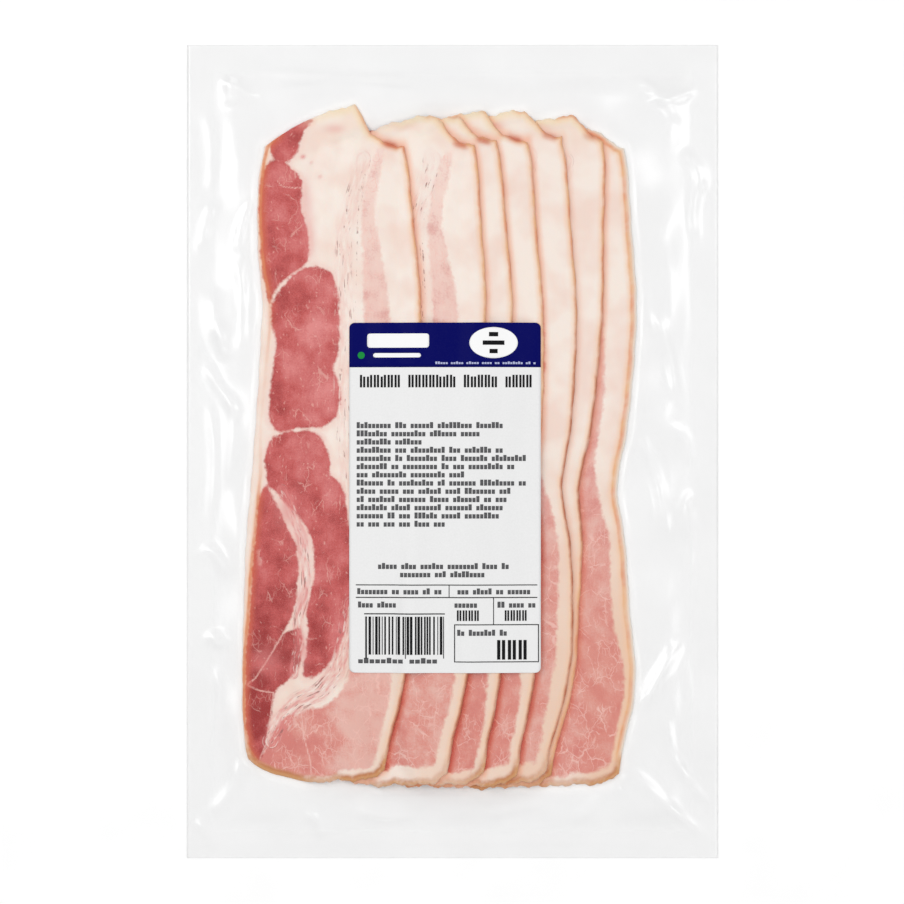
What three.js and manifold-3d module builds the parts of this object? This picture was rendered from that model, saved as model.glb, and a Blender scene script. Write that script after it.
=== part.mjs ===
// A sealed clear pouch of shingled streaky bacon rashers with a paper label, lying on its back.
// Millimetres. +Y runs to the pouch's top end, +Z is up, the origin is the middle of the underside.
import * as THREE from "three";
import { mergeVertices } from "three/addons/utils/BufferGeometryUtils.js";
import Module from "manifold-3d";

const wasm = await Module();
wasm.setup();

// Pouch
const pouchWidth = 196;
const pouchLength = 300;
const sealWidth = 10;
const sealThickness = 0.45;
const filmThickness = 0.3;
const marginLift = 0.25;
const waveHeight = 1.1;
const waveLength = 47;
const waveSlant = 0.35;
const waveEase = 9;

// Rashers, counted from the one on top, whose rib edge is at the left and rind edge at the right
const rasherThickness = 1.5;
const rindReference = 41.9;
const edgeDrop = 1.8;
const hiddenRibRamp = 7;
const hiddenCorner = 0.3;
const endDrop = 4;

// Where the film over the rinds bridges from one rasher to the next under the label
const bridge = 10;
const patchEase = 3;

// Label
const label = { left: -38, right: 32.5, bottom: -81.4, top: 47.4, corner: 2 };
const labelThickness = 0.3;
const labelGap = 0.3;

// The rind line that all rashers share: how far it bulges to the right at each height
const rindLine = {
  at: [-121, -108, -93.5, -72, -50, -32.7, -13.5, 7.6, 32, 55, 81, 106, 114],
  bulge: [-8.5, -5.9, -1.5, 2.8, 2.9, 1.1, -2.4, 0.7, 2.8, 3.5, 1.7, 0, -1.5],
};

// The rib line, measured to the left from the rind reference
const ribLine = {
  at: [-118, -112, -95, -60, -30, -5, 20, 42, 55, 70, 85, 100, 112],
  reach: [56, 58.6, 59.6, 58.5, 58.8, 57.7, 56.5, 55.6, 55, 56.2, 56.2, 55.2, 52.6],
};

// Each rasher's shift from the reference at six heights, its top corner, the rise of its tip, how much
// later the tip falls towards the rind, and how far its foot lies from the usual one
const shiftAt = [-115, -90, -60, -13, 55, 114];
const rashers = [
  { shift: [-59.0, -59.9, -60.5, -58.2, -57.0, -58.7], corner: 112.4, rise: 15.1, late: 0, foot: 0 },
  { shift: [-35.7, -37.0, -38.0, -35.5, -33.0, -32.7], corner: 112.2, rise: 11.8, late: 0.09, foot: -1.4 },
  { shift: [-22.4, -24.6, -26.5, -24.8, -23.3, -24.2], corner: 113.9, rise: 9.6, late: 0.09, foot: -1.4 },
  { shift: [-10.0, -12.0, -13.5, -9.4, -12.2, -12.7], corner: 114.2, rise: 11.3, late: 0.03, foot: -1.9 },
  { shift: [0.5, 0.3, -0.7, 1.0, 0.4, 0], corner: 115.2, rise: 10.6, late: 0.1, foot: -1 },
  { shift: [2.6, 2.4, 1.5, 7.4, 10.2, 15.1], corner: 112.4, rise: 11.4, late: 0.2, foot: -2.4 },
  { shift: [27.6, 25.9, 20.4, 21.4, 22.6, 22.5], corner: 110.8, rise: 8.2, late: 0.2, foot: -1.6 },
];

// Ends of a rasher across its width, from rib (0) to rind (1)
const tipShape = {
  at: [0, 0.19, 0.4, 0.65, 0.7, 0.76, 0.86, 1],
  rise: [0, 0.44, 0.78, 1, 0.8, 0.4, 0.1, 0],
};
const footShape = {
  at: [0, 0.03, 0.11, 0.21, 0.45, 0.6, 0.9, 1],
  y: [-113.5, -115.9, -118.3, -119.7, -122.1, -121.5, -120.6, -117],
};

const clamp01 = (t) => Math.min(1, Math.max(0, t));
const ease = (t) => clamp01(t) ** 2 * (3 - 2 * clamp01(t));

// Smooth curve through values given at rising stations, level beyond its ends
function curveThrough(stations, values, at) {
  const last = stations.length - 1;
  if (at <= stations[0]) return values[0];
  if (at >= stations[last]) return values[last];
  const k = stations.findIndex((station) => station > at) - 1;
  const slope = (i) => {
    const before = Math.max(0, i - 1);
    const after = Math.min(last, i + 1);
    return (values[after] - values[before]) / (stations[after] - stations[before]);
  };
  const span = stations[k + 1] - stations[k];
  const t = (at - stations[k]) / span;
  const startPull = slope(k) * span * t * (1 - t) ** 2;
  const endPull = slope(k + 1) * span * t ** 2 * (1 - t);
  return values[k] + (values[k + 1] - values[k]) * ease(t) + startPull - endPull;
}

function rindEdge(rasher, y) {
  return rindReference + curveThrough(rindLine.at, rindLine.bulge, y) + curveThrough(shiftAt, rasher.shift, y);
}

function ribEdge(rasher, y) {
  return rindReference + curveThrough(shiftAt, rasher.shift, y) - curveThrough(ribLine.at, ribLine.reach, y);
}

// How much of a rasher's thickness lifts the film at a place, with the drop at its rind given
function cover(rasher, x, y, drop) {
  const left = ribEdge(rasher, y);
  const right = rindEdge(rasher, y);
  const across = clamp01((x - left) / (right - left));
  const isTopmost = rasher === rashers[0];
  const tipAcross = across / (1 + rasher.late);
  const footAcross = isTopmost ? across : Math.max(across, hiddenCorner);
  const top = rasher.corner + rasher.rise * curveThrough(tipShape.at, tipShape.rise, tipAcross);
  const foot = rasher.foot + curveThrough(footShape.at, footShape.y, footAcross);
  const rib = ease(1 + (x - left) / (isTopmost ? edgeDrop : hiddenRibRamp));
  const rind = ease(1 + (right - x) / drop);
  return rib * rind * ease(1 + (top - y) / endDrop) * ease(1 + (y - foot) / endDrop);
}

// 1 on the label's patch, easing to 0 around it
function labelPatch(x, y) {
  const beyondX = Math.max(label.left - x, x - label.right, 0);
  const beyondY = Math.max(label.bottom - y, y - label.top, 0);
  return ease(1 - Math.hypot(beyondX, beyondY) / patchEase);
}

function margin(x, y) {
  const inset = Math.min(pouchWidth / 2 - Math.abs(x), pouchLength / 2 - Math.abs(y));
  const loose = ease((inset - sealWidth) / waveEase);
  const turn = (2 * Math.PI) / waveLength;
  const wave = Math.sin(turn * (y + waveSlant * x)) * Math.cos(turn * (x - waveSlant * y));
  return sealThickness + loose * (marginLift + (waveHeight * (1 + wave)) / 2);
}

// Height of the pouch's outside above what it lies on
function filmTop(x, y) {
  const stack = (drop) => rashers.reduce((sum, rasher) => sum + cover(rasher, x, y, drop), 0);
  const layers = stack(edgeDrop);
  const patch = labelPatch(x, y);
  const bridged = patch > 0 ? layers + patch * (stack(bridge) - layers) : layers;
  const free = 1 - Math.min(1, layers);
  return bridged * rasherThickness + filmThickness + free * (margin(x, y) - filmThickness);
}

// Even steps from one place to another, the last place left out
function steps(from, to, count) {
  return Array.from({ length: count }, (_, i) => from + ((to - from) * i) / count);
}

// Grid columns at a height: they follow the seals, the top rasher's rib edge and every rind
function columnsAt(y) {
  const half = pouchWidth / 2;
  const rib = ribEdge(rashers[0], y);
  const columns = [-half, ...steps(sealWidth - half, rib - edgeDrop, 3), rib - edgeDrop];
  let from = rib;
  rashers.forEach((rasher, i) => {
    const rind = rindEdge(rasher, y);
    columns.push(...steps(from, rind, i === 0 ? 6 : 2), rind);
    from = rind + edgeDrop;
  });
  columns.push(...steps(from, half - sealWidth, 3), half - sealWidth, half);
  return columns;
}

// Grid rows: close together at the seals and over the rashers' ends
const belowFeet = -131;
const aboveFeet = -112;
const belowTips = 104;
const aboveTips = 132;
const rows = [
  -pouchLength / 2,
  ...steps(sealWidth - pouchLength / 2, belowFeet, 2),
  ...steps(belowFeet, aboveFeet, 6),
  ...steps(aboveFeet, belowTips, 27),
  ...steps(belowTips, aboveTips, 10),
  aboveTips,
  pouchLength / 2 - sealWidth,
  pouchLength / 2,
];

// Closed block on the grid, from a level floor up to a height at each place
function blockUnder(height, floor) {
  const grid = rows.map((y) => columnsAt(y).map((x) => [x, y, height(x, y)]));
  const wide = grid[0].length;
  const high = grid.length;
  const points = grid.flat();
  const index = (row, column) => row * wide + column;
  const faces = [];
  for (let row = 0; row < high - 1; row += 1) {
    for (let column = 0; column < wide - 1; column += 1) {
      const a = index(row, column);
      const b = index(row, column + 1);
      const c = index(row + 1, column + 1);
      const d = index(row + 1, column);
      faces.push([a, b, c], [a, c, d]);
    }
  }
  const rim = [
    ...steps(0, wide - 1, wide - 1).map((column) => index(0, column)),
    ...steps(0, high - 1, high - 1).map((row) => index(row, wide - 1)),
    ...steps(wide - 1, 0, wide - 1).map((column) => index(high - 1, column)),
    ...steps(high - 1, 0, high - 1).map((row) => index(row, 0)),
  ];
  const firstBelow = points.length;
  rim.forEach((i) => points.push([points[i][0], points[i][1], floor]));
  const middle = points.length;
  points.push([0, 0, floor]);
  rim.forEach((above, i) => {
    const next = (i + 1) % rim.length;
    const below = firstBelow + i;
    const nextBelow = firstBelow + next;
    faces.push([above, below, nextBelow], [above, nextBelow, rim[next]], [middle, nextBelow, below]);
  });
  return new wasm.Manifold(new wasm.Mesh({
    numProp: 3,
    vertProperties: new Float32Array(points.flat()),
    triVerts: new Uint32Array(faces.flat()),
  }));
}

// Upright prism of a flat outline, for cutting
function prism(outline, from, to) {
  const raw = new THREE.ExtrudeGeometry(outline, { depth: to - from, bevelEnabled: false, curveSegments: 4 });
  raw.translate(0, 0, from);
  raw.deleteAttribute("normal");
  raw.deleteAttribute("uv");
  const merged = mergeVertices(raw, 1e-4);
  return new wasm.Manifold(new wasm.Mesh({
    numProp: 3,
    vertProperties: new Float32Array(merged.attributes.position.array),
    triVerts: new Uint32Array(merged.index.array),
  }));
}

function labelOutline() {
  const { left, right, bottom, top, corner } = label;
  const quarter = Math.PI / 2;
  const outline = new THREE.Shape();
  outline.absarc(right - corner, bottom + corner, corner, -quarter, 0);
  outline.absarc(right - corner, top - corner, corner, 0, quarter);
  outline.absarc(left + corner, top - corner, corner, quarter, 2 * quarter);
  outline.absarc(left + corner, bottom + corner, corner, 2 * quarter, 3 * quarter);
  outline.closePath();
  return outline;
}

function makeMesh(name, solid, colour, roughness) {
  const { vertProperties, triVerts } = solid.getMesh();
  const geometry = new THREE.BufferGeometry();
  geometry.setAttribute("position", new THREE.BufferAttribute(vertProperties, 3));
  geometry.setIndex(new THREE.BufferAttribute(triVerts, 1));
  geometry.computeVertexNormals();
  const material = new THREE.MeshStandardMaterial({ color: colour, roughness, metalness: 0 });
  const mesh = new THREE.Mesh(geometry, material);
  mesh.name = name;
  return mesh;
}

function pouchSolid() {
  return blockUnder(filmTop, 0);
}

function labelSolid() {
  const ceiling = rashers.length * rasherThickness * 2;
  const underLabel = blockUnder((x, y) => filmTop(x, y) + labelGap, -1);
  const uptoLabel = blockUnder((x, y) => filmTop(x, y) + labelGap + labelThickness, 0);
  return uptoLabel.intersect(prism(labelOutline(), -2, ceiling)).subtract(underLabel);
}

const group = new THREE.Group();
group.add(makeMesh("pouch", pouchSolid(), 0xe3b5aa, 0.25));
group.add(makeMesh("label", labelSolid(), 0xefefef, 0.6));

export default group;
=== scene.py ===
import functools
import math
import random

import bpy
import numpy as np
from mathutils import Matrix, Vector


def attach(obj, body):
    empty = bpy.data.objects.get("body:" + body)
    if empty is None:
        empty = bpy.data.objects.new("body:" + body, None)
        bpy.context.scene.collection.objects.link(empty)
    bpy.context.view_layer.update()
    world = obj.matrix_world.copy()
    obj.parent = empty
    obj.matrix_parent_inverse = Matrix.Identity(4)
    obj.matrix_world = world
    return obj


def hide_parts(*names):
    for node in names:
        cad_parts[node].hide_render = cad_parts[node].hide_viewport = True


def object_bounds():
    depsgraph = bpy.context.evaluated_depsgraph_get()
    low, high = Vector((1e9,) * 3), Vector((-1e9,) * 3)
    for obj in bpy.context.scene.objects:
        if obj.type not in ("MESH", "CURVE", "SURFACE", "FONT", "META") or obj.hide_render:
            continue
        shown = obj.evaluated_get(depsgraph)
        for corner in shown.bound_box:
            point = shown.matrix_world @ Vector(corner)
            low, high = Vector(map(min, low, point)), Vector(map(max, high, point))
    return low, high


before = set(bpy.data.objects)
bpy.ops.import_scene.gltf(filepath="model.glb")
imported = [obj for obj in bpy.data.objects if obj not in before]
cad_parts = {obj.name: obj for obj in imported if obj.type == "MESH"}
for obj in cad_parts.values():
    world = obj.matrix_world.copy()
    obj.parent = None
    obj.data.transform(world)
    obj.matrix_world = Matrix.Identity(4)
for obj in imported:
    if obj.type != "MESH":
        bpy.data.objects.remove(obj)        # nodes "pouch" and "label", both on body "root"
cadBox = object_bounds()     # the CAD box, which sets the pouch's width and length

mm = 0.001
turn = 2 * math.pi


# Small helpers

def hexToLinear(code):
    channels = [int(code[i:i + 2], 16) / 255 for i in (1, 3, 5)]
    linear = [c / 12.92 if c <= 0.04045 else ((c + 0.055) / 1.055) ** 2.4 for c in channels]
    return (*linear, 1.0)


def ease(t):
    t = np.clip(t, 0, 1)
    return t * t * (3 - 2 * t)


def fade(value, start, end):    # eases from 0 at the start to 1 at the end, whichever is larger
    return ease((value - start) / (end - start))


def waves(at, sines, number):    # each sine has a size, a pace and how far the next rasher's is ahead
    return sum(size * np.sin(at * pace + ahead * number) for size, pace, ahead in sines)


def curveThrough(stations, values, at):    # smooth curve, level beyond its ends
    stations, values = np.asarray(stations, float), np.asarray(values, float)
    at = np.clip(at, stations[0], stations[-1])
    slopes = np.gradient(values, stations)
    slopes[1:-1] = (values[2:] - values[:-2]) / (stations[2:] - stations[:-2])
    k = np.clip(np.searchsorted(stations, at, side="right") - 1, 0, len(stations) - 2)
    span = stations[k + 1] - stations[k]
    t = (at - stations[k]) / span
    pull = slopes[k] * span * t * (1 - t) ** 2 - slopes[k + 1] * span * t ** 2 * (1 - t)
    return values[k] + (values[k + 1] - values[k]) * ease(t) + pull


def closedCurve(corners, perSpan=6):    # Catmull-Rom loop through given points
    p = np.asarray(corners, float)
    before, after, beyond = np.roll(p, 1, 0), np.roll(p, -1, 0), np.roll(p, -2, 0)
    points = []
    bend, twist = 2 * before - 5 * p + 4 * after - beyond, 3 * p - before - 3 * after + beyond
    for t in np.arange(perSpan) / perSpan:
        points.append(0.5 * (2 * p + (after - before) * t + bend * t ** 2 + twist * t ** 3))
    return np.stack(points, 1).reshape(-1, 2)


def distanceToPath(x, y, path, closed=False):    # to the nearest of its straight pieces
    path = np.asarray(path, float)
    ends = np.roll(path, -1, 0) if closed else path[1:]
    nearest = np.full(np.shape(x), 1e9)
    for (ax, ay), (bx, by) in zip(path, ends):
        dx, dy = bx - ax, by - ay
        t = np.clip(((x - ax) * dx + (y - ay) * dy) / max(dx * dx + dy * dy, 1e-9), 0, 1)
        nearest = np.minimum(nearest, np.hypot(x - ax - t * dx, y - ay - t * dy))
    return nearest


def flowAlong(x, y, path):    # distance to a path, with its sign, and how far along it the place is
    nearest, side = np.full(np.shape(x), 1e9), np.ones(np.shape(x))
    reach, walked = np.zeros(np.shape(x)), 0
    for (ax, ay), (bx, by) in zip(path, path[1:]):
        dx, dy = bx - ax, by - ay
        length = math.hypot(dx, dy)
        t = np.clip(((x - ax) * dx + (y - ay) * dy) / length ** 2, 0, 1)
        off = np.hypot(x - ax - t * dx, y - ay - t * dy)
        closer = off < nearest
        nearest = np.where(closer, off, nearest)
        side = np.where(closer, np.sign((x - ax) * dy - (y - ay) * dx), side)
        reach = np.where(closer, walked + t * length, reach)
        walked += length
    return nearest, side * nearest, reach


def insideDistance(x, y, corners):    # positive inside a smooth outline, negative outside
    loop = closedCurve(corners)
    inside = np.zeros(np.shape(x), bool)
    for (ax, ay), (bx, by) in zip(loop, np.roll(loop, -1, 0)):
        if ay != by:
            inside ^= ((ay > y) != (by > y)) & (x < (bx - ax) * (y - ay) / (by - ay) + ax)
    distance = distanceToPath(x, y, loop, closed=True)
    return np.where(inside, distance, -distance)


def spread(length, step, ends=(0, 0.25, 0.6, 1.1)):    # even steps with finer ones at both ends
    ends = np.array(ends)
    count = max(2, round((length - 2 * ends[-1] - 2 * step) / step) + 1)
    middle = np.linspace(ends[-1] + step, length - ends[-1] - step, count)
    return np.concatenate([ends, middle, length - ends[::-1]])


def makeObject(name, points, faces, material, replaced=None):
    mesh = bpy.data.meshes.new(name)
    mesh.from_pydata((np.asarray(points, float) * mm).tolist(), [], faces)
    mesh.polygons.foreach_set("use_smooth", [True] * len(mesh.polygons))
    mesh.materials.append(material)
    made = bpy.data.objects.new(name, mesh)
    bpy.context.scene.collection.objects.link(made)
    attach(made, "root")
    if replaced:
        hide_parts(replaced)
    return made


def gridFaces(rows, columns, first=0, flip=False):
    row, column = np.meshgrid(np.arange(rows - 1), np.arange(columns - 1), indexing="ij")
    a = (first + row * columns + column).ravel()
    quads = np.stack([a, a + 1, a + columns + 1, a + columns], 1)
    return quads[:, ::-1] if flip else quads


def rimOf(rows, columns):    # a grid's rim, anticlockwise
    foot = np.arange(columns - 1)
    right = np.arange(rows - 1) * columns + columns - 1
    top = (rows - 1) * columns + np.arange(columns - 1, 0, -1)
    left = np.arange(rows - 1, 0, -1) * columns
    return np.concatenate([foot, right, top, left])


def closedSheet(x, y, above, below):    # points and faces of a closed sheet over a grid of places
    rows, columns = x.shape
    count = rows * columns
    points = np.concatenate([np.stack([x, y, z], -1).reshape(-1, 3) for z in (above, below)])
    rim = rimOf(rows, columns)
    after = np.roll(rim, -1)
    wall = np.stack([rim, rim + count, after + count, after], 1)
    faces = np.concatenate([gridFaces(rows, columns), gridFaces(rows, columns, count, flip=True), wall])
    return points, faces.tolist()


def paintSheet(made, name, values):    # a number or a vector at each place, the same on both faces
    kind, field = ("FLOAT", "value") if values.ndim == 2 else ("FLOAT_VECTOR", "vector")
    layer = made.data.attributes.new(name, kind, "POINT")
    layer.data.foreach_set(field, np.tile(values.ravel(), 2).astype(np.float32))


# One node with its settings and links. Its inputs come in Blender's order, or by name in a dictionary.
def addNode(tree, kind, *inputs, ramp=(), **settings):
    made = tree.nodes.new("ShaderNode" + kind)
    for name, value in settings.items():
        setattr(made, name, value)
    pairs = list(zip([s for s in made.inputs if s.enabled], inputs))
    if inputs and isinstance(inputs[0], dict):
        pairs = [(next(s for s in made.inputs if s.enabled and s.name == name), value)
                 for name, value in inputs[0].items()]
    for socket, value in pairs:
        if isinstance(value, bpy.types.Node):
            value = next(s for s in value.outputs if s.enabled)
        if isinstance(value, bpy.types.NodeSocket):
            tree.links.new(value, socket)
        else:
            socket.default_value = hexToLinear(value) if isinstance(value, str) else value
    for i, (place, colour) in enumerate(ramp):
        steps = made.color_ramp.elements
        step = steps[i] if i < 2 else steps.new(place)
        step.position, step.color = place, hexToLinear(colour)
    return made


# settings that many nodes share
smooth, coloured = {"interpolation_type": "SMOOTHSTEP"}, {"data_type": "RGBA"}
times, plus = {"operation": "MULTIPLY"}, {"operation": "ADD"}
timesPlus, larger = {"operation": "MULTIPLY_ADD"}, {"operation": "MAXIMUM"}


def newMaterial(name):
    material = bpy.data.materials.new(name)
    material.use_nodes = True
    material.node_tree.nodes.clear()
    return material, material.node_tree


# Shape of the pouch and its rashers, the same as in the CAD model

pouch = {
    "width": (cadBox[1].x - cadBox[0].x) / mm,
    "length": (cadBox[1].y - cadBox[0].y) / mm,
    "seal": 10, "sealHeight": 0.45, "film": 0.3,
    "lift": 0.25, "wave": 1.1, "waveLength": 47, "waveSlant": 0.35, "waveEase": 9,
}
rasher = {
    "thickness": 1.5, "rind": 41.9, "edgeDrop": 1.8, "ribRamp": 7, "endDrop": 4,
    "bridge": 10,        # under the label the film bridges from rind to rind
    "patchEase": 3,
    "hiddenCorner": 0.3,    # the rounded rib corners hidden in the stack hardly show through
    "round": 1.3,           # radius of its edges, seen from above
    "rimShare": 0.2,        # how much of the thickness is left at the very edge
    "lipShare": 0.06,       # and how much the edge lifts
    "lies": 0.1, "gap": 0.08,    # above what it lies on, and clear of the next one
    "width": 57, "length": 240,
    "cutWaves": ((0.35, 31, 1.9), (0.25, 71, 3), (0.15, 137, 2)),
    "cutClean": 0.1, "crumbles": (0.35, 0.6),    # the top one's rib side is cut clean
    "sideWaves": ((0.2, 0.45, 1), (0.08, 1.7, 2)),
}
label = {"left": -38, "right": 32.5, "bottom": -81.4, "top": 47.4, "corner": 2,
         "paper": 0.12, "lift": 0.06, "ink": 0.03, "step": 1.2}

rindLine = {
    "at": [-121, -108, -93.5, -72, -50, -32.7, -13.5, 7.6, 32, 55, 81, 106, 114],
    "bulge": [-8.5, -5.9, -1.5, 2.8, 2.9, 1.1, -2.4, 0.7, 2.8, 3.5, 1.7, 0, -1.5],
}
ribLine = {
    "at": [-118, -112, -95, -60, -30, -5, 20, 42, 55, 70, 85, 100, 112],
    "reach": [56, 58.6, 59.6, 58.5, 58.8, 57.7, 56.5, 55.6, 55, 56.2, 56.2, 55.2, 52.6],
}
shiftAt = [-115, -90, -60, -13, 55, 114]
# From the one on top to the one at the bottom. mark is the lift and strength of the smear by its corner,
# the reddening pair is where its rind line turns redder and darker to the foot, partly painted shade
# between rashers.
rashers = [
    {"shift": [-59.0, -59.9, -60.5, -58.2, -57.0, -58.7], "corner": 112.4, "rise": 15.1, "late": 0,
     "foot": 0, "step": 0.62, "mark": (0.4, 0.95), "footSmoke": 1.0, "peach": 0.5, "pale": 0.8,
     "reddenAndShade": (40, -90)},
    {"shift": [-35.7, -37.0, -38.0, -35.5, -33.0, -32.7], "corner": 112.2, "rise": 11.8, "late": 0.09,
     "foot": -1.4, "step": 0.9, "mark": (0.5, 0.8), "footSmoke": 0.7, "peach": 0.6, "pale": 0.25,
     "reddenAndShade": (40, -90)},
    {"shift": [-22.4, -24.6, -26.5, -24.8, -23.3, -24.2], "corner": 113.9, "rise": 9.6, "late": 0.09,
     "foot": -1.4, "step": 0.9, "mark": (0.4, 0.85), "footSmoke": 0.75, "peach": 0.65, "pale": -0.3,
     "reddenAndShade": (40, -90)},
    {"shift": [-10.0, -12.0, -13.5, -9.4, -12.2, -12.7], "corner": 114.2, "rise": 11.3, "late": 0.03,
     "foot": -1.9, "step": 0.9, "mark": (0.9, 0.8), "footSmoke": 0.85, "peach": 0.65, "pale": -0.1,
     "reddenAndShade": (40, -90)},
    {"shift": [0.5, 0.3, -0.7, 1.0, 0.4, 0], "corner": 115.2, "rise": 10.6, "late": 0.1,
     "foot": -1, "step": 0.9, "mark": (0.8, 0.65), "footSmoke": 0.8, "peach": 0.8, "pale": 0.35,
     "reddenAndShade": (90, 0)},
    {"shift": [2.6, 2.4, 1.5, 7.4, 10.2, 15.1], "corner": 112.4, "rise": 11.4, "late": 0.2,
     "foot": -2.4, "step": 0.9, "mark": (3.4, 0.45), "footSmoke": 1.0, "peach": 0.9, "pale": 0,
     "reddenAndShade": (90, 0), "golden": (-50, -20), "warmShaded": 0.5},    # golden again further down, and with half the painted warm shade beside the rasher above
    {"shift": [27.6, 25.9, 20.4, 21.4, 22.6, 22.5], "corner": 110.8, "rise": 8.2, "late": 0.2,
     "foot": -1.6, "step": 0.9, "mark": (0, 0), "footSmoke": 0.8, "peach": 1.0, "pale": -0.15},
]
tipShape = {"at": [0, 0.19, 0.4, 0.65, 0.7, 0.76, 0.86, 1],
            "rise": [0, 0.44, 0.78, 1, 0.8, 0.4, 0.1, 0]}
footShape = {"at": [0, 0.03, 0.11, 0.21, 0.45, 0.6, 0.9, 1],
             "y": [-113.5, -115.9, -118.3, -119.7, -122.1, -121.5, -120.6, -117]}


def rasherShift(one, y):
    return rasher["rind"] + curveThrough(shiftAt, one["shift"], y)


def rindEdge(one, y):
    return rasherShift(one, y) + curveThrough(rindLine["at"], rindLine["bulge"], y)


def ribEdge(one, y):
    return rasherShift(one, y) - curveThrough(ribLine["at"], ribLine["reach"], y)


def tipEdge(one, across):
    across = across / (1 + one["late"])
    return one["corner"] + one["rise"] * curveThrough(tipShape["at"], tipShape["rise"], across)


def footEdge(one, across):
    return one["foot"] + curveThrough(footShape["at"], footShape["y"], across)


def cover(one, x, y, drop):
    left, right = ribEdge(one, y), rindEdge(one, y)
    across = np.clip((x - left) / (right - left), 0, 1)
    ribDrop = rasher["edgeDrop"] if one is rashers[0] else rasher["ribRamp"]
    ends = ease(1 + (tipEdge(one, across) - y) / rasher["endDrop"])
    footAt = across if one is rashers[0] else np.maximum(across, rasher["hiddenCorner"])
    ends = ends * ease(1 + (y - footEdge(one, footAt)) / rasher["endDrop"])
    return ends * ease(1 + (x - left) / ribDrop) * ease(1 + (right - x) / drop)


def layersAt(x, y, drop=None, above=-1):    # how many rashers lie here, of those under one of them
    return sum(cover(one, x, y, drop or rasher["edgeDrop"]) for one in rashers[above + 1:])


def labelPatch(x, y):
    beyondX = np.maximum(np.maximum(label["left"] - x, x - label["right"]), 0)
    beyondY = np.maximum(np.maximum(label["bottom"] - y, y - label["top"]), 0)
    return ease(1 - np.hypot(beyondX, beyondY) / rasher["patchEase"])


def insetFrom(x, y):    # how far inside the pouch's cut edges
    return np.minimum(pouch["width"] / 2 - np.abs(x), pouch["length"] / 2 - np.abs(y))


def looseWave(x, y):    # long waves of the loose film round the rashers, which end at the seals
    loose = ease((insetFrom(x, y) - pouch["seal"]) / pouch["waveEase"])
    k, slant = turn / pouch["waveLength"], pouch["waveSlant"]
    wave = np.sin(k * (y + slant * x)) * np.cos(k * (x - slant * y))
    return loose * (pouch["lift"] + pouch["wave"] * (1 + wave) / 2)


def filmTop(x, y):
    layers = layersAt(x, y)
    bridged = layers + labelPatch(x, y) * (layersAt(x, y, rasher["bridge"]) - layers)
    free = 1 - np.minimum(layers, 1)
    margin = pouch["sealHeight"] + looseWave(x, y)
    return bridged * rasher["thickness"] + pouch["film"] + free * (margin - pouch["film"]), free


# Rashers: where the lean, the seams and the marks lie, in a rasher's own millimetres.
# Across is from the rind reference (minus is towards the rib), along is the frame's Y.

leanOutlines = {
    "tip": [(-35, 122.2), (-38.2, 117.5), (-40.3, 111.5), (-43, 107.6), (-46, 106.6), (-49.2, 108.2),
            (-50.6, 111.2), (-49.2, 114.8), (-44.4, 119), (-39.5, 121.4)],
    "upper": [(-46, 107.1), (-42, 103.3), (-39.3, 99), (-40, 90), (-38, 82), (-37.6, 75), (-38.6, 69.8),
              (-41.2, 66.9), (-44.3, 65.1), (-47.8, 62.3), (-50.6, 58.8), (-52.3, 55), (-53.6, 60),
              (-54.8, 68), (-55.3, 80), (-55, 94), (-53.6, 103), (-50.6, 107)],
    "round": [(-47.5, 60.7), (-44.7, 63.8), (-41.4, 66.6), (-37, 68), (-32, 67.5), (-28.8, 64),
              (-27, 57), (-26.6, 46), (-27, 36), (-29, 31), (-26.2, 24), (-26.4, 15), (-31.5, 9.3),
              (-40, 8.8), (-48, 7.4), (-52, 12.5), (-51.5, 26), (-49.8, 39), (-51.6, 48), (-51.4, 54),
              (-50.3, 57)],
    "middle": [(-50, 5.4), (-42, 7.6), (-35, 6.9), (-31.5, 3), (-29, -4), (-29.2, -8), (-25.6, -11.3),
               (-23.2, -17), (-20.5, -30), (-19.3, -45), (-19.7, -58), (-20.9, -66), (-23.8, -73),
               (-27.8, -79), (-32.6, -82.8), (-36.6, -83), (-36.6, -80), (-35.8, -76), (-34.8, -70),
               (-34.5, -65.5), (-35.1, -60.5), (-34.4, -54), (-33.2, -49.5), (-33, -42.5),
               (-33.9, -35.1), (-35.6, -30.2), (-38.4, -25.6), (-42.3, -22), (-46.8, -17), (-51, -12.5),
               (-53, -5), (-52.4, 1)],
    "flank": [(-52.4, -13), (-47.6, -21.2), (-43.8, -28), (-40.5, -34), (-39.2, -40), (-38.9, -45),
              (-39.1, -50), (-39.5, -56), (-41.6, -62.6), (-44.2, -67.4), (-47.3, -73), (-50.9, -78.9),
              (-54.9, -84.4), (-57.8, -86.6), (-58.2, -78), (-56.8, -66), (-56, -54), (-56, -42),
              (-55.4, -30), (-55, -18)],
    "foot": [(-39.1, -65.2), (-37.3, -66), (-37, -72), (-38, -78.2), (-40, -81.8), (-43.8, -85.5),
             (-47.5, -89.2), (-48.8, -95.4), (-50.5, -102.8), (-51.5, -109), (-54, -113.6),
             (-56.6, -112.6), (-58, -106.5), (-58.6, -98), (-58.4, -87), (-55, -83.6), (-51, -78.2),
             (-47.2, -72), (-43.6, -67.2)],
}
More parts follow.
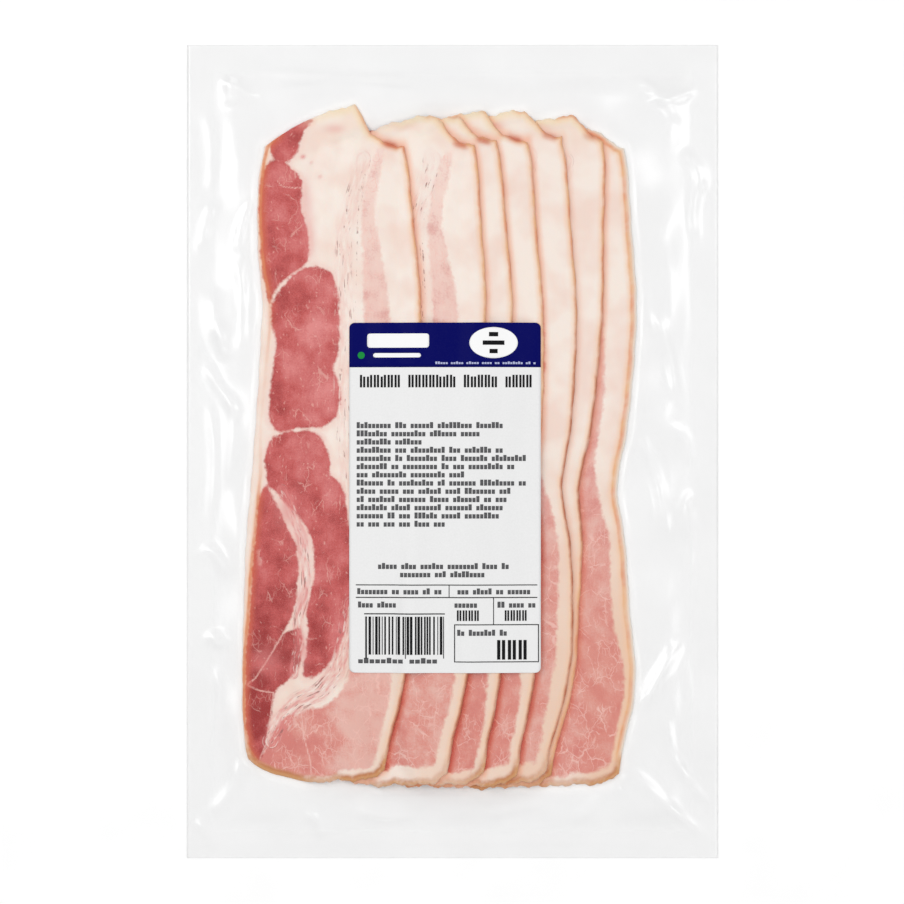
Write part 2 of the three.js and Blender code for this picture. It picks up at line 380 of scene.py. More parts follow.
backOutline = [    # the paler muscle along the back, which widens over the foot
    (-8.8, 111), (-10.3, 101.3), (-12.6, 88.5), (-11.1, 74.5), (-9, 60), (-7.8, 47), (-8.3, 32),
    (-10.8, 4), (-10.5, -8), (-7.2, -22.7), (-3.9, -36), (-2.4, -50), (-3.2, -69), (-4.1, -82),
    (-5.7, -92), (-7.4, -99), (-9.2, -105.4), (-10.8, -111.6), (-12.4, -115.6), (-16, -117),
    (-22.6, -117), (-26, -118.8), (-34, -120), (-45, -119.6), (-52, -117.6), (-56.6, -114.4),
    (-52, -110), (-48, -102.5), (-43.5, -97.8), (-38, -95.6), (-29, -93.6), (-24.7, -90.4),
    (-20.5, -84), (-18.8, -76), (-18.5, -66), (-18.5, -50), (-18.5, -30), (-18.5, -8),
    (-18, 15), (-17.4, 47), (-17.7, 62), (-17.8, 74), (-17.6, 84), (-16.3, 95), (-14, 103),
    (-11.4, 110),
]
seams = [    # white sinew between and in the muscles
    [(-48.5, 100), (-46.5, 97.8), (-43, 97.2), (-39.2, 97.4)],
    [(-52.4, 54), (-50.7, 58.4), (-47.8, 62), (-44.7, 65), (-40.6, 67.6)],
    [(-51, 6.5), (-42, 8.2), (-32, 7.8), (-28, 10)],
    [(-58, -86), (-54.8, -84), (-51, -78.6), (-47.2, -72.8), (-44, -67.6), (-41.4, -63), (-39, -61)],
    [(-58, -86), (-53, -88.2), (-48, -88.9)],
    [(-38, -96), (-37.3, -105), (-36.6, -108), (-35.3, -113.8), (-34.9, -119.5)],
    [(-39, -62), (-36, -66), (-36, -74), (-37.4, -81)],
    [(-48, -89), (-49.6, -99), (-51.4, -108), (-54, -113.5)],
    [(-46.8, -17), (-42.4, -23.6), (-39, -28), (-36.8, -34), (-36, -42)],
]
vessels = [    # fine dark blood vessels in the fat
    [(-21.9, 94.6), (-24.5, 81)],
    [(-14.9, 104), (-18.2, 96.5), (-19, 86), (-20, 70), (-20.6, 48)],
]
streaks = [    # bands of streaky fat, with fine dark dashes of vessels
    [(-16.5, 108), (-18.5, 100), (-22, 88), (-24.5, 78), (-25, 62), (-24, 40), (-24.5, 20), (-23.5, 2),
     (-21, -14)],
    [(-18.5, -56), (-20.5, -68), (-24, -81), (-31, -88.5), (-39, -92.5), (-45, -98), (-49.5, -107)],
    [(-46.5, -14), (-42.5, -22), (-38.5, -31), (-36.2, -42), (-36, -52), (-38.2, -61), (-38, -72),
     (-40.5, -82)],
]
streakShares = [1.0, 1.0, 0.55]    # how wide each band is beside the first
streakPinks = [0.2, 0.9, 1.0]      # and how much pink its strands have
smokeLine = [    # where the smoked skin shows as an orange line down the rib side
    (-47, 117), (-51.4, 112.5), (-53, 106.5), (-54, 100), (-54.8, 92), (-55, 84), (-54.8, 74), (-54.1, 66),
    (-52.9, 59.6), (-52.2, 54), (-52.2, 46), (-53.6, 30), (-55.2, 10), (-54.6, -8), (-55.4, -20),
    (-56.2, -36), (-56.6, -50), (-56.8, -62), (-58.2, -74), (-58.9, -88), (-59.2, -100), (-57.6, -110),
    (-54.6, -115), (-48, -118),
]
smokeFade = {"at": [-122, -112, -104, -60, -20, -6, 20, 50, 62, 80, 116],
             "much": [0.35, 0.6, 0.9, 0.95, 0.8, 0.25, 0.1, 0.4, 0.7, 0.95, 0.9]}
blushes = [    # pink clouds: place, radii and strength
    (-26.6, 119, 4.2, 1.8, 0.45), (-38.5, 108.7, 0.9, 0.7, 0.95), (-35.5, 106.5, 0.5, 0.5, 0.5),
    (-32.4, 101.3, 0.6, 0.5, 0.6), (-37.5, 92, 2.2, 9, 0.35), (-36.5, 78, 2.0, 7, 0.3),
    (-44.5, -22, 4, 6, 0.6), (-38.5, -32, 3, 5, 0.4), (-37.5, -55, 3, 4, 0.4), (-36, -74, 1.5, 6, 0.5),
    (-50, -77, 5, 5, 0.5),
]
lights = [    # paler places in the lean, the same way; one of them is a painted sheen of the film
    (-49.5, 93, 5, 8, 0.5), (-41, 79, 4, 6, 0.7), (-36, 62, 7, 4, 0.7), (-34, 46, 6, 8, 1.2),
    (-44, 35, 6, 9, 0.8), (-34, 20, 8, 9, 1.0), (-46, 107, 3, 5, 0.6), (-38, -2, 7, 6, 0.8),
    # the one at (-31, -38) on this line is a painted sheen of the film, not a paler tone of the lean
    (-29, -14, 3.5, 6, 0.75), (-31, -38, 4, 12, 0.4), (-24.5, -66, 3, 8, 0.8), (-52, -44, 4, 12, 0.3),
]
darks = [    # and darker ones
    (-46, 55, 5, 6, 0.7), (-49, 22, 3, 9, 0.5), (-52, -26, 4, 8, 0.4), (-49, -62, 8, 16, 0.65),
    (-54, -96, 6, 16, 1.1), (-43.5, -77, 5, 7, 0.8), (-30.5, -68, 5, 12, 0.6), (-43, -108, 10, 10, 0.7),
]

pattern = {    # how one rasher's pattern differs from the next, in millimetres
    "sway": ((0.9, 1 / 17, 1.7), (0.5, 1 / 7.3, 3.57)), "slip": ((1.5, 1 / 9, 1.7),),
    "bandIn": 3,                             # the streaky band lies up to this much nearer the rind
    "backIn": 3, "backInAcross": (-12, -16), "backInAlong": (25, -5),    # the back muscle reaches in more
    "backOut": 2.5, "backOutAlong": (40, 70),    # and is narrower higher up on the lower ones
    "paleAlong": (-60, -85), "paleAcross": (-30, -18),
    "creamAlong": (-3, 7), "creamAcross": (-42, -24),    # the tip's fat, from its corner upwards
    "peachAlong": (20, -90), "peachAcross": (-26, -16), "peachLeast": 0.25,
    "apart": (90, 7),                        # places in the noise, so that no two rashers match
}
smearShape = {"across": -6.3, "half": 2.7, "slope": 0.25, "thick": 1.3}
smoked = {    # shares of the rasher's width and length where smoke coloured it, and how much
    "rind": (0.6, 0.9), "tip": (0.97, 0.99), "foot": (0.04, 0.01),
    "pastPeak": (0.62, 0.7), "tipMuch": 0.8,    # on the tip it starts beyond the peak
    "ribMuch": 0.05, "goldIn": (3.2, 1.2),
    "patches": (0.35, 9.7, 0.2, 2),    # how much, their pace, where they start and the next one's lead
    "warmShadeWide": 2.8,        # how far the painted warm shade beside the rind of the rasher above reaches over the one it lies on
    "fringe": 1.5, "fringeFade": 1.2,    # the last one's line lies inside its free edge, past a bare fringe
}


def clouds(x, y, places):
    return sum(much * np.exp(-((x - middleX) / wide) ** 2 - ((y - middleY) / high) ** 2)
               for middleX, middleY, wide, high, much in places)


def smear(one, x, y):
    lift, strength = one["mark"]
    beside = x - rasherShift(one, y) - smearShape["across"]
    off = (y - one["corner"] - lift + smearShape["slope"] * beside) / smearShape["thick"]
    return strength * np.exp(-(beside / smearShape["half"]) ** 4 - off ** 2)


def rasherAttributes(number, one, x, y):
    across = x - rasherShift(one, y)
    u, v, under = across, y, number > 0
    if under:
        u = across + waves(y, pattern["sway"], number)
        v = y + waves(across, pattern["slip"], number)
    lean = np.max([insideDistance(u, v, outline) for outline in leanOutlines.values()], 0)
    seam = np.min([distanceToPath(u, v, path) for path in seams], 0)
    vessel = np.min([distanceToPath(u, v, path) for path in vessels], 0)
    smoke = distanceToPath(across, y, smokeLine)

    streak, sideways, along = np.full_like(u, 1e9), np.zeros_like(u), np.zeros_like(u)
    strandPink = np.zeros_like(u)
    bands = list(zip(streaks, streakShares, streakPinks))
    for path, share, pink in bands[:1] if under else bands:    # on the others the rest lies hidden
        off, side, reach = flowAlong(u - min(number, pattern["bandIn"]), v, path)
        closer = off / share < streak
        strandPink = np.where(closer, pink, strandPink)
        streak = np.where(closer, off / share, streak)
        sideways, along = np.where(closer, side, sideways), np.where(closer, reach, along)

    reachIn = under * pattern["backIn"] * fade(u, *pattern["backInAcross"])
    inner = u + reachIn * fade(v, *pattern["backInAlong"])
    back = insideDistance(inner, v, backOutline)
    if number > 1:
        back = back - pattern["backOut"] * fade(v, *pattern["backOutAlong"])
    pale = one["pale"] * fade(y, *pattern["paleAlong"]) * fade(across, *pattern["paleAcross"])
    peach = pattern["peachLeast"] + (1 - pattern["peachLeast"]) * fade(across, *pattern["peachAcross"])

    # painted warm shade: the one it lies on is darkened and warmed beside the edge of the rasher above,
    # redder towards the foot
    notch, warmShade, reddenAndShade = smear(one, x, y), np.zeros_like(u), np.zeros_like(u)
    if under:
        notch = np.maximum(notch, smear(rashers[number - 1], x, y))
        warmShade = cover(rashers[number - 1], x, y, smoked["warmShadeWide"]) * one.get("warmShaded", 1)
    # the rind line turns redder and darker towards the foot, partly the lean's red and partly painted shade
    # where the rashers overlap
    if "reddenAndShade" in one:
        reddenAndShade = fade(y, *one["reddenAndShade"])
    if "golden" in one:
        reddenAndShade = reddenAndShade * fade(y, *one["golden"])

    values = {
        "lean": lean, "back": back, "seam": seam, "vessel": vessel, "streak": streak,
        "strandPink": strandPink, "blush": clouds(u, v, blushes),
        # tone holds the paler and darker places of the lean, with one painted film sheen among the paler
        # ones
        "tone": clouds(u, v, lights) - clouds(u, v, darks) + pale,
        "smoke": smoke, "smokeMuch": curveThrough(smokeFade["at"], smokeFade["much"], y),
        "notch": notch, "warmShade": warmShade, "reddenAndShade": reddenAndShade,
        "tip": fade(y - one["corner"], *pattern["creamAlong"]) * fade(across, *pattern["creamAcross"]),
        "peach": one["peach"] * fade(y, *pattern["peachAlong"]) * peach,
    }
    asideX, asideZ = (number * apart for apart in pattern["apart"])
    place = np.stack([u + asideX, v, np.full_like(u, asideZ)], -1)
    flow = np.stack([sideways + asideX, along, np.full_like(u, asideZ)], -1)
    return values, place, flow


def smokeAttributes(number, one, across, along, edge):
    # the rind is smoked most, the tip's far side less, the foot in patches and the rib side hardly
    nearRind, nearTip = fade(across, *smoked["rind"]), fade(along, *smoked["tip"])
    nearFoot = fade(along, *smoked["foot"])
    much, pace, start, ahead = smoked["patches"]
    patches = 1 + much * np.cos(pace * (across - start) + ahead * number)
    pastPeak = smoked["tipMuch"] * fade(across, *smoked["pastPeak"])
    rim = smoked["ribMuch"] + (1 - smoked["ribMuch"]) * nearRind * (1 - nearFoot)
    fringe = smoked["fringe"] * (one is rashers[-1]) * (1 - nearFoot)
    return {
        "rim": rim + (pastPeak - rim) * nearTip * (1 - nearRind),
        "gold": one["footSmoke"] * nearFoot * patches * fade(edge, *smoked["goldIn"]),
        "line": np.abs(edge - fringe),
        "bare": np.clip((fringe - edge) / smoked["fringeFade"], 0, 1),
        "edge": edge,
    }


def makeRasher(number, one, material):
    s = spread(rasher["width"], one["step"]) / rasher["width"]
    t = spread(rasher["length"], one["step"]) / rasher["length"]
    across, along = np.meshgrid(s, t)
    crumbly = fade(across, *rasher["crumbles"]) if number == 0 else 1
    crumble = rasher["cutClean"] + (1 - rasher["cutClean"]) * crumbly
    wobble = crumble * waves(across, rasher["cutWaves"], number)
    foot = footEdge(one, across) + wobble
    y = foot + along * (tipEdge(one, across) + wobble - foot)
    left, right = ribEdge(one, y), rindEdge(one, y)
    x = left + across * (right - left) + (across - 0.5) * waves(y, rasher["sideWaves"], number)

    rim = rimOf(*x.shape)
    rimPath = np.stack([x.ravel()[rim], y.ravel()[rim]], 1)
    edge = distanceToPath(x.ravel(), y.ravel(), rimPath[::2], closed=True).reshape(x.shape)
    edge.ravel()[rim] = 0
    roundness = np.sqrt(1 - (1 - np.clip(edge / rasher["round"], 0, 1)) ** 2)
    under = layersAt(x, y, above=number) * rasher["thickness"] + rasher["lies"]
    body = rasher["thickness"] - rasher["gap"]
    above = under + body * (rasher["rimShare"] + (1 - rasher["rimShare"]) * roundness)
    below = under + body * rasher["lipShare"] * (1 - roundness)
    points, faces = closedSheet(x, y, above, below)
    made = makeObject(f"rasher{number + 1}", points, faces, material, "pouch")

    values, place, flow = rasherAttributes(number, one, x, y)
    values.update(smokeAttributes(number, one, across, along, edge))
    for name, value in values.items():
        paintSheet(made, name, value)
    paintSheet(made, "place", place)
    paintSheet(made, "flow", flow)


# Bacon: cured and smoked pork belly, sliced across the grain. Moist, so it has a soft sheen
# under the film; lean and fat let a little light in.

pork = {
    "leanDark": "#9b2f2e", "leanMid": "#c45a58", "leanPale": "#dc8683",
    "backTop": "#efd3c8", "backMid": "#e1a59b", "backFoot": "#db9085",
    "fat": "#f3e6dc", "fatPink": "#efd8cc", "fatFoot": "#e7c4ac", "fatCream": "#f0dcbe",
    "haloPink": "#ebc0b5",
    "backPeach": "#d58270", "sinew": "#ecbdb2", "rindTan": "#e4b082", "rindRed": "#dc8f68",
    # rind line colours; the one towards the foot is partly painted shade where the rashers overlap
    "rindFootAndShade": "#bb6a48", "rindGlow": "#efc4a0", "rindBare": "#eadccf",
    "footGold": "#cf9664", "footBrown": "#bf7d52",
    # painted warm shade beside the edge of the rasher above, and its redder painted shade on the lean
    # towards the foot
    "warmShade": "#ffdccb", "warmShadeFoot": "#eebcb0",
    "skin": "#d8845a", "skinLean": "#cc6148", "mark": "#c8684b", "dash": "#96625b",
    "grain": 0.7, "grainAlong": 0.3,    # millimetres between muscle fibres, and how slowly they change
    "marble": 5.5, "fineMarble": 2.2,   # millimetres between the veins of fat
    "vein": 0.14, "veinCore": 0.03,     # half a vein's width
    "fleck": 1.15,                      # millimetres between the fine flecks
    "stray": 1.6,                       # how far the muscles' outlines wander
    "lobe": 1.5, "fringed": 0.5,        # and how deep the lobes and the fine fringe along them are
    "leanBorder": (-0.6, 0.55), "backBorder": (-0.8, 0.8),    # their soft edges, out and in
    "backStray": 1.3,                   # the back muscle's outline wanders this much more
    "halo": (-3.0, 0.2),                # pinker fat beside the lean
    "seam": (0.9, 0.45, 0.0, 0.75),     # sinew: where it fades out and is whitest, and how much it is there
    "band": (6.2, 3.2), "dashed": (4.5, 2.0),            # the streaky band, and its dashes within it
    "vessel": (0.8, 0.5, 0.0, 0.8),
    "backFrom": 100, "backTo": -110,    # the muscle along the back deepens from tip to foot
    "skinWide": (3.4, 0.6, 0.0, 0.8), "cream": (4.0, 0.6, 0.15, 0.95), "brown": (0.6, 1.8),
    "rindLine": (3.1, 1.45), "skinLine": (1.6, 0.85),    # half widths of each glow and its line
    "glowIn": (0.5, 0.75), "lineIn": (0.2, 0.95),        # where they are full, and how much
    # from and to where in a noise each pattern comes in, and how much of it there is at both
    "haloCloud": (0.35, 0.7, 0.25, 0.8), "paler": (0.5, 0.95, 0.0, 0.5), "darker": (0.62, 0.3, 0.0, 0.4),
    "veinedLean": (0, 1, 1.0, 0.5), "fleckPicked": (0.66, 0.8, 0.0, 0.4), "fleckWide": (0.32, 0.1),
    "pinkStrand": (0.48, 0.62, 0.0, 0.6), "whiteStrand": (0.46, 0.36, 0.0, 0.6),
    "dashLong": (0.62, 0.68), "dashPatch": (0.42, 0.52, 0.0, 0.8),
    "rindTint": (0.4, 0.62), "rindUneven": (0.3, 0.6, 0.6, 1.0), "goldUneven": (0.3, 0.6, 0.7, 1.0),
    # how much the fibres, the finest grain and the paler and darker places, one a painted film sheen,
    # change the tone
    "fibreTone": 0.16, "grainTone": 0.36, "placeTone": 0.3, "placeBack": 0.35, "peachBack": 0.35,
    # how far a noise moves the seams, the bands, the vessels and the smoked lines, in millimetres
    "seamStray": 0.8, "bandStray": 3.0, "vesselStray": 1.2, "lineStray": 0.7,
    "backVeins": 0.1, "pinkBand": 0.32, "pinkDash": 0.05,
    "wetted": 0.2,                      # the film on it takes most of its own gloss
    "leanRoughness": 0.55, "fatRoughness": 0.45, "index": 1.4,
    "relief": 0.12, "lightReach": (1.0, 0.45, 0.3), "lightScale": 1.2, "lightIn": 0.1,
}
patchSizes = {    # millimetres across the soft patches of each noise, and how detailed it is
    "cloud": (14, 2.0), "rindTint": (9, 2.0), "veinGroup": (8, 2.0), "mottle": (7, 5.0),
    "rindUneven": (6, 2.0), "slow": (4.5, 3.0), "dashPatch": (3.6, 2.0), "lobe": (1.7, 2.0),
    "fine": (0.6, 2.0),
}


def baconMaterial():
    material, tree = newMaterial("curedPorkBelly")
    add = functools.partial(addNode, tree)

    def strands(vector, scale, start=(0, 0, 0), detail=3.0):    # noise drawn out along the second axis
        drawn = add("Mapping", {"Vector": vector, "Scale": scale, "Location": start})
        return add("TexNoise", {"Vector": drawn, "Scale": 1.0, "Detail": detail})

    place, flow = (add("Attribute", attribute_name=name).outputs["Vector"] for name in ("place", "flow"))
    painted = ("lean", "back", "seam", "vessel", "blush", "tone", "tip", "peach", "streak", "strandPink",
               "smoke", "smokeMuch", "notch", "warmShade", "reddenAndShade", "edge", "rim", "line", "bare", "gold")
    (lean, back, seam, vessel, blush, toneShift, tip, peach, streak, strandPink, smoke, smokeMuch, notch,
     warmShade, reddenAndShade, edge, rim, line, bare, gold) = (
        add("Attribute", attribute_name=name).outputs["Fac"] for name in painted)
    noises = {kind: add("TexNoise", {"Vector": place, "Scale": 1 / wide, "Detail": detail})
              for kind, (wide, detail) in patchSizes.items()}

    # the outlines wander slowly, in lobes and finely
    slow, lobed, fine = noises["slow"], noises["lobe"], noises["fine"]
    wander = add("Math", slow, pork["stray"], -0.5 * pork["stray"], **timesPlus)
    for noise, deep in ((lobed, pork["lobe"]), (fine, pork["fringed"])):
        wander = add("Math", noise, deep, add("Math", wander, -0.5 * deep, **plus), **timesPlus)
    leanPlace = add("Math", lean, wander, **plus)
    backPlace = add("Math", back, add("Math", wander, pork["backStray"], **times), **plus)
    leanMask = add("MapRange", leanPlace, *pork["leanBorder"], **smooth)
    backMask = add("MapRange", backPlace, *pork["backBorder"], **smooth)

    # fat: cream with faint pink clouds, pinker beside the lean
    cloud = noises["cloud"]
    fat = add("ValToRGB", cloud, ramp=[(0.35, pork["fatPink"]), (0.6, pork["fat"])])
    fat = add("Mix", peach, fat, pork["fatFoot"], **coloured)
    halo = add("MapRange", leanPlace, *pork["halo"], **smooth)
    halo = add("Math", halo, add("MapRange", cloud, *pork["haloCloud"], **smooth), **times)
    fat = add("Mix", halo, fat, pork["haloPink"], **coloured)

    # lean: mottled, with fibres along the rasher and fine pale flecks
    fibre = strands(place, (1 / pork["grain"], pork["grainAlong"], 1), detail=2.0)
    tone = add("Math", fibre, pork["fibreTone"], noises["mottle"], **timesPlus)
    tone = add("Math", fine, pork["grainTone"], add("Math", tone, -pork["fibreTone"], **plus), **timesPlus)
    muscle = add("ValToRGB", add("Math", toneShift, pork["placeTone"], tone, **timesPlus),
                 ramp=[(0.3, pork["leanDark"]), (1.0, pork["leanPale"]), (0.63, pork["leanMid"])])
    alongIt = add("SeparateXYZ", {"Vector": place}).outputs["Y"]
    down = add("MapRange", {"Value": alongIt, "From Min": pork["backFrom"], "From Max": pork["backTo"]})
    backMuscle = add("ValToRGB", down, ramp=[(0.0, pork["backTop"]), (1.0, pork["backFoot"]),
                                             (0.55, pork["backMid"])])
    backTone = add("Math", toneShift, pork["placeBack"], tone, **timesPlus)
    paler = add("MapRange", backTone, *pork["paler"], **smooth)
    darker = add("MapRange", backTone, *pork["darker"], **smooth)
    backMuscle = add("Mix", paler, backMuscle, pork["fatPink"], **coloured)
    backMuscle = add("Mix", darker, backMuscle, pork["leanMid"], **coloured)
    peachy = add("Math", peach, pork["peachBack"], **times)
    backMuscle = add("Mix", peachy, backMuscle, pork["backPeach"], **coloured)

    # marbling: a coarse and a fine net of veins, broken up
    bent = add("VectorMath", slow.outputs["Color"], (4, 4, 0), place, **timesPlus)
    bent = add("VectorMath", lobed.outputs["Color"], (1, 1, 0), bent, **timesPlus)
    bent = add("Mapping", {"Vector": bent, "Scale": (1, 0.6, 1)})
    lowBack = add("Math", backMask, down, **times)
    groups = add("Math", lowBack, pork["backVeins"], noises["veinGroup"], **timesPlus)
    ragged = add("Math", fine, pork["seamStray"], seam, **timesPlus)
    sinews = add("MapRange", ragged, *pork["seam"], **smooth)
    veined = add("MapRange", leanMask, *pork["veinedLean"], **smooth)
    for size, start, strength in ((pork["marble"], 0.5, 0.85), (pork["fineMarble"], 0.56, 0.5)):
        net = add("TexVoronoi", {"Vector": bent, "Scale": 1 / size}, feature="DISTANCE_TO_EDGE")
        shown = add("MapRange", groups, start, start + 0.1, 0.0, strength, **smooth)
        vein = add("MapRange", net, pork["vein"] / size, pork["veinCore"] / size, **smooth)
        vein = add("Math", vein, add("Math", shown, veined, **times), **times)
        sinews = add("Math", sinews, vein, **larger)
    flecks = add("TexVoronoi", {"Vector": bent, "Scale": 1 / pork["fleck"]}, feature="F1")
    picked = add("SeparateColor", {"Color": flecks.outputs["Color"]}).outputs["Red"]
    picked = add("MapRange", picked, *pork["fleckPicked"], **smooth)
    fleck = add("MapRange", flecks.outputs["Distance"], *pork["fleckWide"], **smooth)
    sinews = add("Math", sinews, add("Math", fleck, picked, **times), **larger)

    anyLean = add("Math", leanMask, backMask, **larger)
    meat = add("Mix", leanMask, add("Mix", backMask, fat, backMuscle, **coloured), muscle, **coloured)
    meat = add("Mix", add("Math", sinews, anyLean, **times), meat, pork["sinew"], **coloured)

    # streaky bands: white and pink strands that follow the band, and fine dark dashes of vessels
    near = add("Math", slow, pork["bandStray"], streak, **timesPlus)
    near = add("MapRange", near, *pork["band"], **smooth)
    strand = strands(flow, (0.85, 0.17, 1))
    pinkStrand = add("Math", add("MapRange", strand, *pork["pinkStrand"], **smooth), near, **times)
    whiteStrand = add("Math", add("MapRange", strand, *pork["whiteStrand"], **smooth), near, **times)
    pinkBand = add("Math", add("Math", near, strandPink, **times), pork["pinkBand"], **times)
    meat = add("Mix", pinkBand, meat, pork["leanPale"], **coloured)
    meat = add("Mix", add("Math", pinkStrand, strandPink, **times), meat, pork["leanPale"], **coloured)
    meat = add("Mix", whiteStrand, meat, pork["fat"], **coloured)
    dash = strands(flow, (1.5, 0.13, 1), (3, 8, 0))
    dash = add("Math", strandPink, pork["pinkDash"], dash, **timesPlus)
    dash = add("MapRange", dash, *pork["dashLong"], **smooth)
    dashPatch = add("MapRange", noises["dashPatch"], *pork["dashPatch"], **smooth)
    dash = add("Math", dash, dashPatch, **times)
    dash = add("Math", dash, add("MapRange", streak, *pork["dashed"], **smooth), **times)
    vessel = add("Math", lobed, pork["vesselStray"], vessel, **timesPlus)
    vessel = add("MapRange", vessel, *pork["vessel"], **smooth)
    meat = add("Mix", add("Math", dash, vessel, **larger), meat, pork["dash"], **coloured)
    meat = add("Mix", blush, meat, pork["leanPale"], **coloured)
    cream = add("Math", tip, add("MapRange", edge, *pork["cream"], **smooth), **times)
    meat = add("Mix", cream, meat, pork["fatCream"], **coloured)

    # smoke coloured the outside: a warm glow that ends in a brown line at the very edge
    rindTint = add("MapRange", noises["rindTint"], *pork["rindTint"], **smooth)
    rindColour = add("Mix", rindTint, pork["rindTan"], pork["rindRed"], **coloured)
    # redder and darker towards the foot: partly the lean's red, partly painted shade between the rashers
    rindColour = add("Mix", reddenAndShade, rindColour, pork["rindFootAndShade"], **coloured)
    uneven = add("MapRange", noises["rindUneven"], *pork["rindUneven"], **smooth)
    skinMuch = add("MapRange", smoke, *pork["skinWide"], **smooth)
    skinMuch = add("Math", add("Math", skinMuch, smokeMuch, **times), leanMask, **times)
    meat = add("Mix", skinMuch, meat, pork["skinLean"], **coloured)
    skinGlow = add("Mix", leanMask, pork["rindGlow"], pork["skinLean"], **coloured)
    lines = ((line, rim, pork["rindGlow"], rindColour, pork["rindLine"]),
             (smoke, smokeMuch, skinGlow, pork["skin"], pork["skinLine"]))
    for distance, strength, glow, colour, halfWidths in lines:
        near = add("Math", distance, -0.5 * pork["lineStray"], **plus)
        near = add("Math", slow, pork["lineStray"], near, **timesPlus)
        amount = add("Math", strength, uneven, **times)
        for shade, start, (full, most) in zip((glow, colour), halfWidths, (pork["glowIn"], pork["lineIn"])):
            share = add("MapRange", near, start, full, 0.0, most, **smooth)
            meat = add("Mix", add("Math", share, amount, **times), meat, shade, **coloured)
    meat = add("Mix", bare, meat, pork["rindBare"], **coloured)
    brown = add("MapRange", edge, *pork["brown"], **smooth)
    goldColour = add("Mix", brown, pork["footGold"], pork["footBrown"], **coloured)
    gold = add("Math", gold, add("MapRange", lobed, *pork["goldUneven"], **smooth), **times)
    meat = add("Mix", gold, meat, goldColour, **coloured)
    meat = add("Mix", notch, meat, pork["mark"], **coloured)
    # painted warm shade on each rasher beside the edge of the rasher above, redder on the lean towards the
    # foot
    meat = add("Mix", warmShade, meat, pork["warmShade"], **coloured, blend_type="MULTIPLY")
    warmShadedLean = add("Math", add("Math", warmShade, reddenAndShade, **times), anyLean, **times)
    meat = add("Mix", warmShadedLean, meat, pork["warmShadeFoot"], **coloured, blend_type="MULTIPLY")

    # fibres stand up a little and fat lies smoother and glossier than lean
    bump = add("Bump", {"Height": add("Math", tone, anyLean, **times), "Strength": 0.25,
                        "Distance": pork["relief"] * mm})
    roughness = add("MapRange", anyLean, 0, 1, pork["fatRoughness"], pork["leanRoughness"], **smooth)
    surface = add("BsdfPrincipled", {
        "Base Color": meat, "Roughness": roughness, "Normal": bump, "IOR": pork["index"],
        "Specular IOR Level": pork["wetted"],
        "Subsurface Weight": pork["lightIn"], "Subsurface Radius": pork["lightReach"],
        "Subsurface Scale": pork["lightScale"] * mm,
    })
    add("OutputMaterial", {"Surface": surface})
    return material


# Film: clear polyamide and polyethylene laminate, cast and heat sealed. Glossy where it is loose,
# while the moist meat it clings to takes most of its gloss away.

film = {
    "mirror": 0.04,                          # share a plastic mirrors when seen straight on
    "looseGloss": 0.85, "clingGloss": 0.15,
    "looseRoughness": 0.2, "clingRoughness": 0.3,
    "haze": 0.015, "sealHaze": 0.04,
    "clear": "#fefefe", "steep": "#fafafa",    # light is lost where the film stands steep, as in its folds
    "steepFrom": 0.14, "clingLoss": 0.4,
    "milky": "#ffffff", "milkyRoughness": 0.5,
    "step": 1.15, "endRows": (0.5, 1.4), "lastRow": 1,
    "gap": 0.14, "thinnest": 0.1,            # between the outer and inner faces
    "inside": 0.16, "lies": 0.02,            # under the CAD solid's top, and above the table
    "clings": 0.3, "foldsFrom": (1, 5),      # folds end at the pouch's rim
    "sealLine": (0.4, -0.4), "looseFrom": (0.5, 1),
    "foldBend": (0.9, 5, 20),                # how far a fold sways, its pace and where it starts
    "foldEnds": (0.3, 0.15),                 # it tapers over this share of its length
}


def filmMaterial():
    material, tree = newMaterial("clearLaminateFilm")
    seal = addNode(tree, "Attribute", attribute_name="seal").outputs["Fac"]
    loose = addNode(tree, "Attribute", attribute_name="loose").outputs["Fac"]
    slant = addNode(tree, "LayerWeight", {"Blend": 0.5}).outputs["Facing"]
    steep = addNode(tree, "MapRange", {"Value": slant, "From Max": film["steepFrom"]})
    fold = addNode(tree, "MapRange", {"Value": loose, "To Min": film["clingLoss"]})
    steep = addNode(tree, "Math", steep, fold, **times)
    tint = addNode(tree, "Mix", steep, film["clear"], film["steep"], **coloured)
    through = addNode(tree, "BsdfTransparent", {"Color": tint})
    milky = addNode(tree, "BsdfPrincipled", {"Base Color": film["milky"],
                                             "Roughness": film["milkyRoughness"]})
    haze = addNode(tree, "MapRange", {"Value": seal, "To Min": film["haze"], "To Max": film["sealHaze"]})
    body = addNode(tree, "MixShader", haze, through, milky)
    roughness = addNode(tree, "MapRange", {"Value": loose, "To Min": film["clingRoughness"],
                                           "To Max": film["looseRoughness"]})
    mirror = addNode(tree, "BsdfAnisotropic", {"Color": (1, 1, 1, 1), "Roughness": roughness})
    # mirrors more the flatter one looks along it, the same on both faces
    slant = addNode(tree, "Math", slant, 5.0, operation="POWER")
    share = addNode(tree, "Math", slant, 1 - film["mirror"], film["mirror"], **timesPlus)
    gloss = addNode(tree, "MapRange", {"Value": loose, "To Min": film["clingGloss"],
                                       "To Max": film["looseGloss"]})
    share = addNode(tree, "Math", share, gloss, **times)
    surface = addNode(tree, "MixShader", share, body, mirror)
    addNode(tree, "OutputMaterial", {"Surface": surface})
    return material


